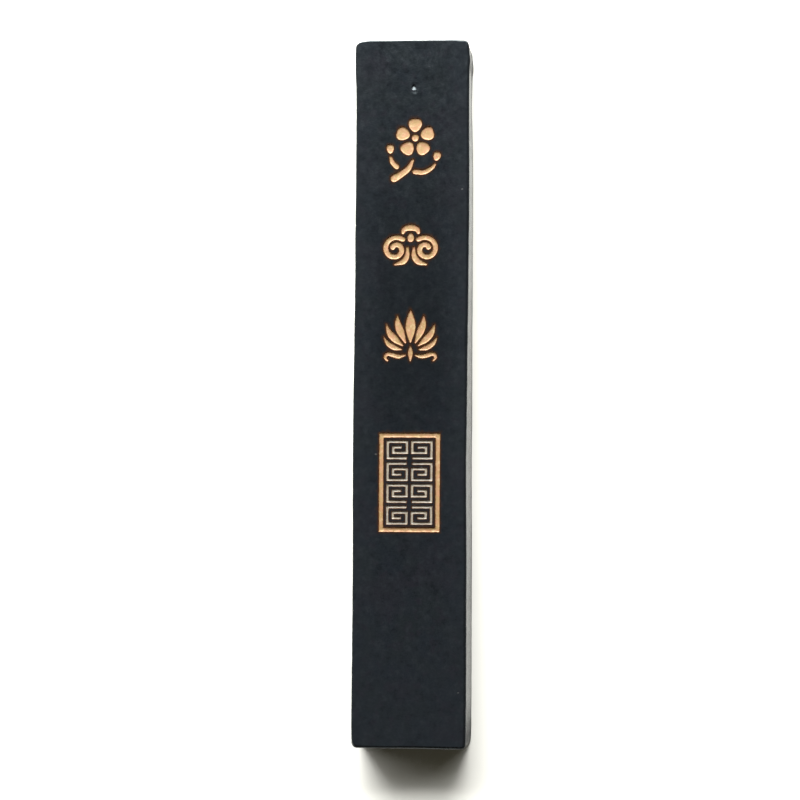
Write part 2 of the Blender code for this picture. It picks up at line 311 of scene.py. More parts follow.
# Stage: metres, radians and watts. A lamp is a bright rectangle that faces the foot end: its power,
# how far away it is, its height above the horizon, its turn from the head's direction, and its size.
FLOOR_REACH = 4.0
FLOOR_COLOUR = (0.80, 0.795, 0.765, 1)
FLOOR_ROUGHNESS = 0.9
LAMPS = {
    "window": (17.4, 0.658, math.radians(32.4), math.radians(-6.5), 0.70, 0.506),
    "far_wall": (168, 1.974, math.radians(21.2), math.radians(-10.7), 6.7, 3.29),
}
LAMP_COLOUR = (1.0, 1.0, 0.97)
ROOM_COLOUR = (1.0, 0.92, 0.66, 1)
ROOM_STRENGTH = 0.060
BACKDROP_COLOUR = (1, 1, 1, 1)
BACKDROP_STRENGTH = 1.1
CAMERA_PLACE = (0.0690, -0.0300, 0.6124)
CAMERA_TARGET = (-0.00217, -0.00158, 0.0124)
CAMERA_ANGLE = math.radians(15.74)
CAMERA_ROLL = math.radians(-0.437)
CAMERA_CLIP = 0.01


# Noise and curves.


def wander(x, y, size, seed):
    """Smooth noise from -1 to 1 whose bumps are about size across."""
    u, v = np.asarray(x) / size, np.asarray(y) / size
    column, row = np.floor(u), np.floor(v)
    across, up = (t * t * (3 - 2 * t) for t in (u - column, v - row))

    def corner(right, above):
        # The usual hash: what follows the point in a large multiple of a sine looks random.
        value = np.sin((column + right) * 12.9898 + (row + above) * 78.233 + seed * 37.719) * 43758.5453
        return 2 * (value - np.floor(value)) - 1

    low = corner(0, 0) * (1 - across) + corner(1, 0) * across
    high = corner(0, 1) * (1 - across) + corner(1, 1) * across
    return low * (1 - up) + high * up


def swaying(x, y, layers):
    """Layers of such noise, one on top of the other."""
    return sum(height * wander(x, y, size, seed) for height, size, seed in layers)


def smoothstep(value, start, end):
    """How far a value is from start to end, from 0 to 1, with both ends eased."""
    share = np.clip((value - start) / (end - start), 0, 1)
    return share * share * (3 - 2 * share)


def evenly(loop, spacing):
    """A closed loop with its points spread evenly along it."""
    closed = np.vstack([loop, loop[:1]])
    run = np.concatenate([[0], np.cumsum(np.linalg.norm(np.diff(closed, axis=0), axis=1))])
    count = max(FEWEST_POINTS, round(run[-1] / spacing))
    stops = np.arange(count) * run[-1] / count
    return np.column_stack([np.interp(stops, run, closed[:, axis]) for axis in (0, 1)])


def stretch(before, start, end, after, count):
    """Points of a centripetal Catmull-Rom curve from start up to, but not at, end."""
    knots = [0.0]
    row = [before, start, end, after]
    for a, b in zip(row, row[1:]):
        knots.append(knots[-1] + max(np.linalg.norm(b - a), TINY) ** 0.5)
    points = []
    for step in range(count):
        t = knots[1] + (knots[2] - knots[1]) * step / count

        def between(a, b, low, high):
            return a + (b - a) * (t - knots[low]) / (knots[high] - knots[low])

        first = between(before, start, 0, 1)
        second = between(start, end, 1, 2)
        third = between(end, after, 2, 3)
        points.append(between(between(first, second, 0, 2), between(second, third, 1, 3), 1, 2))
    return points


def smoothed(loop):
    """The loop as a smooth curve that keeps its sharp corners."""
    count = len(loop)
    into = loop - np.roll(loop, 1, axis=0)
    out = np.roll(into, -1, axis=0)
    cosine = (into * out).sum(1) / (np.linalg.norm(into, axis=1) * np.linalg.norm(out, axis=1))
    corner = np.degrees(np.arccos(np.clip(cosine, -1, 1))) > SHARP_CORNER
    points = []
    for index in range(count):
        start, end = loop[index], loop[(index + 1) % count]
        before = 2 * start - end if corner[index] else loop[index - 1]
        after = 2 * end - start if corner[(index + 1) % count] else loop[(index + 2) % count]
        pieces = max(1, round(np.linalg.norm(end - start) / CURVE_SPACING))
        points += stretch(before, start, end, after, pieces)
    return np.array(points)


# Ornament outlines, read from the frame.


def film_loops(node):
    """The loops round the top of a paint film's solid."""
    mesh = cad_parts[node].data
    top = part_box(node)[1].z
    edges = {}
    for face in mesh.polygons:
        corners = [mesh.vertices[index].co for index in face.vertices]
        if min(corner.z for corner in corners) < top - TINY:
            continue
        ring = [(round(corner.x / MM, 4), round(corner.y / MM, 4)) for corner in corners]
        for start, end in zip(ring, ring[1:] + ring[:1]):
            if (end, start) in edges:
                del edges[end, start]
            else:
                edges[start, end] = True
    return chained({start: end for start, end in edges})


def chained(follows):
    """Closed loops from a dictionary of point and next point."""
    loops = []
    while follows:
        start = next(iter(follows))
        loop, point = [start], follows.pop(start)
        while point != start:
            loop.append(point)
            point = follows.pop(point)
        loops.append(loop)
    return loops


# Distance fields.


class Field:
    """How far each point of a grid lies inside an ornament's strokes: below zero outside them."""

    def __init__(self, strokes):
        points = np.vstack([loop for loops in strokes.values() for loop in loops])
        self.low, self.high = points.min(0) - GRID_MARGIN, points.max(0) + GRID_MARGIN
        self.count = np.ceil((self.high - self.low) / GRID_STEP).astype(int) + 1
        self.values = np.full(self.count, -GRID_REACH)
        for loops in strokes.values():
            self.add(loops)
        self.soften()
        x, y = self.places()
        self.values += swaying(x, y, CUT_SWAY)

    def places(self):
        """The place of every point of the grid."""
        x = self.low[0] + GRID_STEP * np.arange(self.count[0])
        y = self.low[1] + GRID_STEP * np.arange(self.count[1])
        return np.meshgrid(x, y, indexing="ij")

    def add(self, loops):
        """Joins in one stroke, given by its outer loop and any loop round a hole in it."""
        points = np.vstack(loops)
        first = np.floor((points.min(0) - GRID_REACH - self.low) / GRID_STEP).astype(int)
        first = np.maximum(first, 0)
        last = np.ceil((points.max(0) + GRID_REACH - self.low) / GRID_STEP).astype(int)
        window = (slice(first[0], last[0]), slice(first[1], last[1]))
        x, y = (place[window] for place in self.places())
        nearest = np.full(x.shape, np.inf)
        inside = np.zeros(x.shape, bool)
        for loop in loops:
            for (ax, ay), (bx, by) in zip(loop, np.roll(loop, -1, axis=0)):
                dx, dy = bx - ax, by - ay
                share = np.clip(((x - ax) * dx + (y - ay) * dy) / (dx * dx + dy * dy), 0, 1)
                nearest = np.minimum(nearest, (x - ax - share * dx) ** 2 + (y - ay - share * dy) ** 2)
                if ay != by:
                    crosses = (ay > y) != (by > y)
                    inside ^= crosses & (x < ax + (y - ay) * dx / dy)
        distance = np.where(inside, 1, -1) * np.sqrt(nearest)
        self.values[window] = np.maximum(self.values[window], distance)

    def soften(self):
        """Blurs the field a little, which rounds the corners of the strokes."""
        steps = np.arange(-SOFTENING_STEPS, SOFTENING_STEPS + 1)
        weights = np.exp(-((steps / SOFTENING_REACH) ** 2) / 2)
        weights /= weights.sum()
        for axis in (0, 1):
            padding = [(SOFTENING_STEPS, SOFTENING_STEPS) if a == axis else (0, 0) for a in (0, 1)]
            padded = np.pad(self.values, padding, "edge")
            length = self.values.shape[axis]
            self.values = sum(
                weight * np.take(padded, np.arange(start, start + length), axis)
                for start, weight in enumerate(weights)
            )

    def at(self, points):
        """The field at any points, read between the grid's."""
        place = (points - self.low) / GRID_STEP
        cell = np.clip(np.floor(place).astype(int), 0, self.count - 2)
        share = place - cell
        away = ((place < 0) | (place > self.count - 1)).any(1)
        i, j = cell.T
        u, v = share.T
        grid = self.values
        found = (
            grid[i, j] * (1 - u) * (1 - v)
            + grid[i + 1, j] * u * (1 - v)
            + grid[i, j + 1] * (1 - u) * v
            + grid[i + 1, j + 1] * u * v
        )
        return np.where(away, -GRID_REACH, found)

    def ragged(self):
        """The same field made uneven along the strokes' edges, as a brush leaves them."""
        brushed = copy.copy(self)
        x, y = self.places()
        brushed.values = self.values + swaying(x, y, FILM_SWAY)
        return brushed

    def contour(self, level):
        """The closed loops along which the field has this level, with the inside on their left."""
        above = self.values > level
        case = above[:-1, :-1] + 2 * above[1:, :-1] + 4 * above[1:, 1:] + 8 * above[:-1, 1:]
        follows = {}
        for i, j in np.argwhere((case > 0) & (case < 15)):
            sides = {"B": (i, j, 0), "R": (i + 1, j, 1), "T": (i, j + 1, 0), "L": (i, j, 1)}
            turns = CELL_TURNS[case[i, j]]
            if case[i, j] in (5, 10):
                middle = self.values[i : i + 2, j : j + 2].mean() > level
                turns = turns[2 * middle : 2 * middle + 2]
            for start, end in turns:
                follows[sides[start]] = sides[end]
        return [self.crossings(loop, level) for loop in chained(follows)]

    def crossings(self, loop, level):
        """Where the level lies on each grid edge of a loop."""
        i, j, upright = np.array(loop).T
        start = self.values[i, j]
        end = self.values[i + 1 - upright, j + upright]
        share = (level - start) / (end - start)
        along = np.column_stack([i + share * (1 - upright), j + share * upright])
        return self.low + GRID_STEP * along


# How a contour passes a grid cell, by which of its corners are inside. The two-sided cases list
# first the turns for a cell whose middle is outside, then those for one whose middle is inside.
CELL_TURNS = {
    1: ["BL"], 2: ["RB"], 3: ["RL"], 4: ["TR"], 5: ["BL", "TR", "BR", "TL"], 6: ["TB"], 7: ["TL"],
    8: ["LT"], 9: ["BT"], 10: ["RB", "LT", "LB", "RT"], 11: ["RT"], 12: ["LR"], 13: ["BR"], 14: ["LB"],
}


# The shape of the cake.


def outward_of(loop):
    """The outward direction at each point of a counterclockwise loop."""
    along = np.roll(loop, -1, axis=0) - np.roll(loop, 1, axis=0)
    outward = np.column_stack([along[:, 1], -along[:, 0]])
    return outward / np.linalg.norm(outward, axis=1)[:, None]


def bell(value, middle, reach):
    """A smooth hump: 1 at the middle, and near 0 from twice the reach on."""
    return np.exp(-(((value - middle) / reach) ** 2))


def plan_outline():
    """The cake's outline from above, counterclockwise from the right of its head."""
    arcs = []
    places = ((1, 1), (-1, 1), (-1, -1), (1, -1))
    for number, ((right, up), radius, flatness) in enumerate(
        zip(places, CORNER_RADII, CORNER_FLATNESS)
    ):
        middle = np.array([right * (HALF_WIDTH - radius), up * (HALF_LENGTH - radius)])
        angles = np.radians(90 * number + np.linspace(0, 90, CORNER_POINTS))
        arc = middle + radius * np.column_stack([np.cos(angles), np.sin(angles)])
        chord = np.linspace(arc[0], arc[-1], len(arc))
        arcs.append(arc + flatness * (chord - arc))
    loop = evenly(np.vstack(arcs), OUTLINE_SPACING)
    for _ in range(OUTLINE_SMOOTHINGS):
        loop = (np.roll(loop, 1, axis=0) + 2 * loop + np.roll(loop, -1, axis=0)) / 4
    x, y = loop.T
    loop = loop + outward_of(loop) * (swaying(x, y, OUTLINE_SWAY) + OUTLINE_GROWTH)[:, None]
    x, y = loop.T
    droop = HEAD_DROOP * smoothstep(-x, HEAD_DROOP_START, HALF_WIDTH)
    droop *= y > HALF_LENGTH - HEAD_DROOP_REACH
    bend = sum(
        side * out * bell(y, HALF_LENGTH - from_head, reach) * (x * side > HALF_WIDTH / 2)
        for side, from_head, reach, out in SIDE_BENDS
    )
    return np.column_stack([x + bend, y * OUTLINE_STRETCH - droop])


def face_rise(points):
    """How far the face stands above its plane: the slight unevenness of a pressed and dried cake."""
    x, y = points.T
    return swaying(x, y, FACE_SWAY) - FACE_HOLLOW * (1 - (x / HALF_WIDTH) ** 2)


def recess_depth(inside):
    """The depth of the cut at a distance inside a stroke."""
    wall = FLOOR_DEPTH * smoothstep(inside, WALL_START, WALL_END)
    return wall + BELLY_DEPTH * smoothstep(inside, WALL_END, BELLY_END)


def dimple_middle():
    """Where the dimple is, from the lowest vertices that the frame's cake has near its head."""
    points = np.array([vertex.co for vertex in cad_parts["ink_cake"].data.vertices]) / MM
    x, y, z = points.T
    near, far = DIMPLE_SEARCH_RANGE
    pressed = (z > THICKNESS / 2) & (z < THICKNESS - DIMPLE_SEARCH_DEPTH)
    around = (y > HALF_LENGTH - far) & (y < HALF_LENGTH - near) & (abs(x) < HALF_WIDTH / 2)
    return points[pressed & around, :2].mean(0)


DIMPLE_MIDDLE = dimple_middle()


def facet_share(points):
    """How much of a point near the dimple belongs to its slanted facet."""
    away = np.linalg.norm((points - DIMPLE_MIDDLE - FACET_PLACE) / FACET_REACH, axis=1)
    return 1 - smoothstep(away, *FACET_EDGE)


def dimple_depth(points):
    """A shallow hollow, steeper towards the head, with a slanted facet, and a faint lip on its foot side."""
    x, y = (points - DIMPLE_MIDDLE - DIMPLE_SHIFT).T
    along = y / np.where(y > 0, DIMPLE_TO_HEAD, DIMPLE_TO_FOOT)
    hollow = DIMPLE_DEPTH * np.maximum(1 - (x / DIMPLE_ASIDE) ** 2 - along**2, 0) ** DIMPLE_CURVE
    away = np.hypot(x, y)
    turned = smoothstep(-y / np.maximum(away, TINY), *LIP_TURN)
    lip = LIP_HEIGHT * bell(away, LIP_RADIUS, LIP_WIDTH) * turned
    facet = FACET_DEPTH + FACET_SLOPE * (points - DIMPLE_MIDDLE - FACET_PLACE)[:, 1]
    return hollow - lip + facet_share(points) * (facet - hollow)


def ring_points(middle, radii, count):
    """Points on circles round a middle, with the same count on each."""
    angles = np.linspace(0, 2 * math.pi, count, endpoint=False)
    circle = np.column_stack([np.cos(angles), np.sin(angles)])
    return np.vstack([middle + radius * circle for radius in radii])


def lattice(low, high, spacing, seed):
    """Points of a triangular lattice, each moved a little off its place."""
    rows = []
    for number, y in enumerate(np.arange(low[1], high[1], spacing * LATTICE_PITCH)):
        x = np.arange(low[0] + spacing / 2 * (number % 2), high[0], spacing)
        rows.append(np.column_stack([x, np.full(len(x), y)]))
    points = np.vstack(rows)
    shift = np.random.default_rng(seed).uniform(-LATTICE_SHIFT, LATTICE_SHIFT, points.shape)
    return points + shift * spacing


def well_within(points, loop, clear):
    """Those of the points that lie inside a long upright loop, at least clear from every side of it."""
    x, y = points.T
    low, high = loop.min(0), loop.max(0)
    edges = []
    for side in (-1, 1):
        along = loop[loop[:, 0] * side > 0]
        along = along[np.argsort(along[:, 1])]
        edges.append(np.interp(y, along[:, 1], along[:, 0]))
    across = (x > edges[0] + clear) & (x < edges[1] - clear)
    return points[across & (y > low[1] + clear) & (y < high[1] - clear)]


def counterclockwise(indices, loop):
    """The indices of a loop's points, turned round if the loop runs clockwise."""
    x, y = loop.T
    area = (x * np.roll(y, -1) - y * np.roll(x, -1)).sum()
    return indices if area > 0 else indices[::-1]


def stroke_at(point, strokes):
    """The name of the stroke whose outline passes closest to a point."""
    return min(
        strokes,
        key=lambda name: min(np.linalg.norm(loop - point, axis=1).min() for loop in strokes[name]),
    )


class Face:
    """The decorated face, triangulated once, so the cake and the paint on it share their points."""

    def __init__(self, rim, strokes):
        self.field = Field(strokes)
        self.film = self.field.ragged()
        points, loops, films = self.constraints(rim, strokes)
        edges = [pair for loop in loops for pair in zip(loop, loop[1:] + loop[:1])]
        regions = [loop for _, loop in films] + [loops[0]]
        found = geometry.delaunay_2d_cdt(
            [Vector(point) for point in points], edges, regions, CDT_INSIDE, CDT_CLOSENESS, True
        )
        places, _, triangles, sources, _, within = found
        self.places = np.array([tuple(place) for place in places])
        rim_region = len(films)
        kept = [(tuple(corners), held) for corners, held in zip(triangles, within) if rim_region in held]
        self.triangles = [triangle for triangle, _ in kept]
        position = {source: index for index, group in enumerate(sources) for source in group}
        self.rim = [position[index] for index in range(len(rim))]
        self.inside = self.field.at(self.places)
        self.film_inside = self.film.at(self.places)
        self.painted = {name: [] for name in strokes}
        for triangle, held in kept:
            names = [films[region][0] for region in held if region < len(films)]
            # A triangle inside an even number of a film's loops lies in a hole of it.
            for name in set(names):
                if names.count(name) % 2:
                    self.painted[name].append(triangle)
        depth = recess_depth(self.inside) + dimple_depth(self.places)
        self.height = THICKNESS + face_rise(self.places) - depth

    def cut_shade_strength(self, strokes):
        """How strong the painted shade round the cuts is at every point: faint round the pale lines inside
        the frame.
        """
        points = np.vstack([loop for node in FRET_NODES for loop in strokes[node]])
        middle, reach = (points.max(0) + points.min(0)) / 2, (points.max(0) - points.min(0)) / 2
        out = (abs(self.places - middle) - reach).max(1)
        return FRET_CUT_SHADE + (1 - FRET_CUT_SHADE) * smoothstep(out, *FRET_CUT_SHADE_END)

    def constraints(self, rim, strokes):
        """The points to triangulate, the loops that they have to keep, and each film's own loops."""
        points = [rim]
        loops = [list(range(len(rim)))]
        films = []

        def add(loop):
            """Adds points that have to stay joined in a loop."""
            start = sum(map(len, points))
            points.append(loop)
            loops.append(list(range(start, start + len(loop))))

        for level in RECESS_LEVELS:
            for loop in self.field.contour(level):
                if len(loop) > SHORTEST_CONTOUR:
                    add(evenly(loop, CONTOUR_SPACING))
        for loop in self.film.contour(FILM_LEVEL):
            if len(loop) > SHORTEST_CONTOUR:
                add(evenly(loop, CONTOUR_SPACING))
                films.append((stroke_at(loop[0], strokes), counterclockwise(loops[-1], points[-1])))
        outward = outward_of(rim)
        points += [rim - outward * inset for inset in HOLDING_INSETS]
        radii = np.linspace(DIMPLE_FIRST_RING, DIMPLE_REACH, DIMPLE_RINGS)
        points.append(ring_points(DIMPLE_MIDDLE + FACET_PLACE, radii, DIMPLE_SPOKES))
        points.append(self.fill(rim))
        return np.vstack(points), loops, films

    def fill(self, rim):
        """Loose points: a lattice on the bare face, and a closer one on the floors of wide strokes."""
        bare = lattice(rim.min(0), rim.max(0), *FACE_LATTICE)
        bare = well_within(bare, rim, HOLDING_INSETS[-1] + RIM_CLEARANCE)
        away = np.linalg.norm(bare - DIMPLE_MIDDLE - FACET_PLACE, axis=1)
        apart = away > DIMPLE_REACH + DIMPLE_CLEARANCE
        bare = bare[apart & (self.field.at(bare) < RECESS_LEVELS[0] - CUT_CLEARANCE)]
        floor = lattice(self.field.low, self.field.high, *STROKE_LATTICE)
        floor = floor[self.field.at(floor) > RECESS_LEVELS[-1] + WALL_CLEARANCE]
        return np.vstack([bare, floor])


# Meshes.


def piece(name, vertices, faces, material, slot, **values):
    """A mesh object in the frame that rides on the stick, from vertices in millimetres."""
    mesh = bpy.data.meshes.new(name)
    mesh.from_pydata([tuple(vertex) for vertex in np.asarray(vertices) * MM], [], faces)
    for key, numbers in values.items():
        mesh.attributes.new(key, "FLOAT", "POINT").data.foreach_set("value", np.asarray(numbers, np.float32))
    mesh.shade_smooth()
    mesh.materials.append(material)
    mesh.validate()
    made = bpy.data.objects.new(name, mesh)
    bpy.context.scene.collection.objects.link(made)
    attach(made, "root")
    return made


def by_side(outline, values):
    """A value for each point of the outline, blended from those of the four sides."""
    x, y = outline.T
    across = smoothstep(x, SIDE_INSET - HALF_WIDTH, HALF_WIDTH - SIDE_INSET)
    found = values["left"] + (values["right"] - values["left"]) * across
    far, near = END_BLEND
    for end, side in (("head", 1), ("foot", -1)):
        found += (values[end] - found) * smoothstep(side * y, HALF_LENGTH - far, HALF_LENGTH - near)
    return found


def edge_width(outline):
    """The width of the softened edge round the face, which wear and small nicks make uneven."""
    x, y = outline.T
    width = by_side(outline, EDGE_WIDTHS) * (1 + swaying(x, y, EDGE_SWAY))
    for aside, from_head, reach, cut in EDGE_NICKS:
        away = np.hypot(x - aside, y - HALF_LENGTH + from_head)
        width += cut * bell(away, 0, reach)
    return width


def cake_rings(outline, edge, top):
    """Rings of points from just below the face's rim down to the flat of the back, and the painted shade on
    each.
    """
    outward = outward_of(outline)
    along = np.arange(len(outline)) * OUTLINE_SPACING
    x, y = outline.T
    lean = RIGHT_LEAN - RIGHT_TWIST * y / HALF_LENGTH
    lean += sum(bulge * bell(y, middle, reach) for middle, reach, bulge in RIGHT_BULGES)
    lean *= smoothstep(x, LEAN_INSET - HALF_WIDTH, HALF_WIDTH - LEAN_INSET)
    drawn, reach = CORNER_DRAW
    drawn = drawn * bell(np.hypot(x - HALF_WIDTH, y + HALF_LENGTH), 0, reach)

    def ring(inset, height):
        """The outline moved in by an inset, at a height that says how much of the lean it has."""
        down = 1 - height / THICKNESS
        place = outline - outward * np.reshape(inset + drawn * down, (-1, 1))
        place[:, 0] += lean * down
        return np.column_stack([place, height])

    rings, ring_shade = [], []
    fall = edge * by_side(outline, EDGE_STEEPNESS)
    for share in np.arange(1, EDGE_RINGS + 1) / EDGE_RINGS:
        angle = share * math.pi / 2
        inwards = EDGE_FLATNESS * (1 - share) + (1 - EDGE_FLATNESS) * (1 - math.sin(angle))
        down = EDGE_FLATNESS * share + (1 - EDGE_FLATNESS) * (1 - math.cos(angle))
        rings.append(ring(edge * inwards, top - fall * down))
        # The softened edge gets a painted shade, darkest halfway round it.
        ring_shade.append(math.sin(math.pi * share) ** 0.5 if share < 1 else 0)
    start = top - fall
    for share in np.linspace(0, 1, SIDE_RINGS + 2)[1:-1]:
        height = start + share * (FLASH_TOP - start)
        uneven = swaying(along, height, SIDE_SWAY) * min(1, SIDE_GROWTH * share * (1 - share))
        rings.append(ring(SIDE_HOLLOW * math.sin(math.pi * share) - uneven, height))
        ring_shade.append(0)
    flash = FLASH_OUT * (1 + swaying(*outline.T, FLASH_SWAY))
    for share in np.linspace(0, 1, FLASH_RINGS):
        height = np.full(len(outline), FLASH_TOP - FLASH_RISE * share)
        rings.append(ring(-flash * smoothstep(share, 0, 1), height))
        ring_shade.append(0)
    for angle in np.linspace(0, math.pi / 2, BACK_RINGS + 1):
        height = np.full(len(outline), BACK_RADIUS * (1 - math.sin(angle)))
        rings.append(ring(BACK_RADIUS * (1 - math.cos(angle)) - flash, height))
        ring_shade.append(0)
    return rings, ring_shade


def back_face(ring):
    """The flat of the back, as the loose points inside its ring and all its triangles."""
    flat = ring[:, :2]
    loose = well_within(lattice(flat.min(0), flat.max(0), *BACK_LATTICE), flat, BACK_CLEARANCE)
    points = [Vector(point) for point in np.vstack([flat, loose])]
    border = list(range(len(flat)))
    found = geometry.delaunay_2d_cdt(points, [], [border], CDT_INSIDE, CDT_CLOSENESS, True)
    source = [indices[0] for indices in found[3]]
    triangles = [
        tuple(source[corner] for corner in reversed(triangle))
        for triangle, held in zip(found[2], found[5]) if held
    ]
    rise = BACK_RISE * (1 + swaying(*loose.T, BACK_SWAY))
    rise *= smoothstep(HALF_WIDTH - abs(loose[:, 0]), *BACK_RISE_RANGE)
    return np.column_stack([loose, rise]), triangles


def dullness(x, y, z):
    """How dull the cake is at each point: only its right side is, and most of all near the ends."""
    dip, place, reach = DULL_DIP
    dull = DULL_BASE + swaying(y, y, DULL_SWAY) - dip * bell(y, place, reach)
    dull += (1 - DULL_BASE) * (1 - smoothstep(HALF_LENGTH - y, *DULL_NEAR_HEAD))
    dull += DULL_FOOT * (1 - smoothstep(HALF_LENGTH + y, *DULL_NEAR_FOOT))
    start, full = DULL_ASIDE
    dull *= smoothstep(THICKNESS - z, *DULL_BELOW) * smoothstep(x, HALF_WIDTH - start, HALF_WIDTH - full)
    return np.clip(dull, 0, 1)


def make_cake(face, strokes, outline, edge, material):
    """The whole cake as one closed mesh: the face, the rings down its sides, and the back."""
    vertices = [np.column_stack([face.places, face.height])]
    faces = list(face.triangles)
    rings, ring_shade = cake_rings(outline, edge, face.height[face.rim])
    count = len(face.places)
    above = face.rim
    for ring in rings:
        below = list(range(count, count + len(ring)))
        turned = above[1:] + above[:1]
        for start, end, under, after in zip(above, turned, below, below[1:] + below[:1]):
            faces.append((start, under, after, end))
        vertices.append(ring)
        above = below
        count += len(ring)
    loose, triangles = back_face(rings[-1])
    vertices.append(loose)
    faces += [tuple(above[0] + corner for corner in triangle) for triangle in triangles]
    # A painted shade on the rim of the face and round its softened edge.
    rim_darkening = np.zeros(len(face.places))
    rim_darkening[face.rim] = RIM_SHADE
    worn = np.concatenate([rim_darkening, np.repeat(ring_shade, len(outline)), np.zeros(len(loose))])
    polish = np.zeros(len(worn))
    polish[: len(face.places)] = facet_share(face.places)
    x, y, z = np.vstack(vertices).T
    # A painted sheen lightens the long sides, and the face is lightened towards the foot too.
    aside = smoothstep(abs(x) / HALF_WIDTH, *SHEEN_ASIDE)
    rubbed = aside + (1 - aside) * smoothstep(-y / HALF_LENGTH, *LIGHTER_FOOT)
    # A painted shade darkens the middle of the face.
    held = (1 - aside) * bell(y, *MIDDLE_SHADE_PLACE)
    # A painted shade: the dark brown band round each cut.
    stained = np.zeros(len(worn))
    stained[: len(face.places)] = smoothstep(face.inside, *CUT_SHADE_RANGE) * face.cut_shade_strength(strokes)
    made = piece(
        "ink_body", np.vstack(vertices), faces, material, "pressed_ink",
        worn=worn, polish=polish, rubbed=rubbed, held=held, stained=stained, dull=dullness(x, y, z),
    )
    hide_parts("ink_cake")


def make_film(face, name, material, slot):
    """The paint in one stroke: a thin closed mesh that follows the cut and swells towards its middle."""
    triangles = face.painted[name]
    used = sorted({corner for triangle in triangles for corner in triangle})
    position = {corner: index for index, corner in enumerate(used)}
    places, inside = face.places[used], face.film_inside[used] - FILM_LEVEL
    floor = face.height[used] + FILM_CLEARANCE
    x, y = places.T
    pooled = smoothstep(inside, 0, FILM_BODY_START) * (1 + swaying(x, y, POOLING_SWAY))
    body = FILM_EDGE + (FILM_BODY - FILM_EDGE) * pooled
    vertices = np.vstack([np.column_stack([places, floor + body]), np.column_stack([places, floor])])
    count = len(used)
    top = [tuple(position[corner] for corner in triangle) for triangle in triangles]
    faces = top + [tuple(count + corner for corner in reversed(triangle)) for triangle in top]
    sides = {(a, b) for triangle in top for a, b in zip(triangle, triangle[1:] + triangle[:1])}
    faces += [(b, a, count + a, count + b) for a, b in sorted(sides) if (b, a) not in sides]
    made = piece(f"{name}_film", vertices, faces, material, slot, inside=np.tile(inside, 2))
    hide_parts(name)


# Materials.


class Graph:
    """Builds a node tree. An input is given as a number, a colour, or another node's output."""

    def __init__(self, tree):
        self.tree = tree
        tree.nodes.clear()

    def node(self, kind, inputs=None, **settings):
        """A new node, with its inputs by name or number, and its other settings."""
        made = self.tree.nodes.new(kind)
        for key, value in settings.items():
            setattr(made, key, value)
        for key, value in (inputs or {}).items():
            self.feed(made.inputs[key], value)
        return made

    def feed(self, socket, value):
        """Links an output to the socket, or sets the socket's own value."""
        if isinstance(value, bpy.types.NodeSocket):
            self.tree.links.new(value, socket)
        else:
            socket.default_value = value

    def place(self, stretch=(1, 1, 1)):
        """A point's place on the object, in millimetres before it is stretched."""
        coordinates = self.node("ShaderNodeTexCoord").outputs["Object"]
        scale = [1 / MM / share for share in stretch]
        return self.node("ShaderNodeMapping", {"Vector": coordinates, "Scale": scale}).outputs[0]

    def noises(self, kinds):
        """The output of each kind of noise, by its name: values from about 0 to 1."""
        place = self.place()
        made = {}
        for name, (size, detail, roughness, shift) in kinds.items():
            inputs = {
                "Vector": place, "W": shift, "Scale": 1 / size, "Detail": detail, "Roughness": roughness,
            }
            made[name] = self.node("ShaderNodeTexNoise", inputs, noise_dimensions="4D").outputs["Fac"]
        return made

    def span(self, value, low, high, start=0.0, end=1.0):
        """A smooth step from start to end while the value goes from low to high."""
        inputs = {"Value": value, "From Min": low, "From Max": high, "To Min": start, "To Max": end}
        made = self.node("ShaderNodeMapRange", inputs, interpolation_type="SMOOTHSTEP", clamp=True)
        return made.outputs["Result"]

    def math(self, operation, first, second):
        """What the operation makes of two numbers."""
        return self.node("ShaderNodeMath", {0: first, 1: second}, operation=operation).outputs[0]

    def mix(self, share, first, second):
        """A colour that goes from the first to the second as the share goes from 0 to 1."""
        inputs = {"Factor": share, 6: first, 7: second}
        return self.node("ShaderNodeMix", inputs, data_type="RGBA").outputs[2]

    def value(self, name):
        """A number kept on the mesh's vertices."""
        return self.node("ShaderNodeAttribute", attribute_name=name).outputs["Fac"]

    def bump(self, height, distance, strength, normal=None):
        """A bump as high as the distance in millimetres, on top of an earlier one if one is given."""
        inputs = {"Height": height, "Distance": distance * MM, "Strength": strength}
        if normal is not None:
            inputs["Normal"] = normal
        return self.node("ShaderNodeBump", inputs).outputs["Normal"]

    def surface(self, **inputs):
        """The shader and the output, with an underscore for every space in an input's name."""
        names = {key.replace("_", " "): value for key, value in inputs.items()}
        shader = self.node("ShaderNodeBsdfPrincipled", names)
        output = self.node("ShaderNodeOutputMaterial")
        self.tree.links.new(shader.outputs[0], output.inputs["Surface"])


def new_material(name):
    """A material, and its empty node tree."""
    made = bpy.data.materials.new(name)
    made.use_nodes = True
    return made, Graph(made.node_tree)


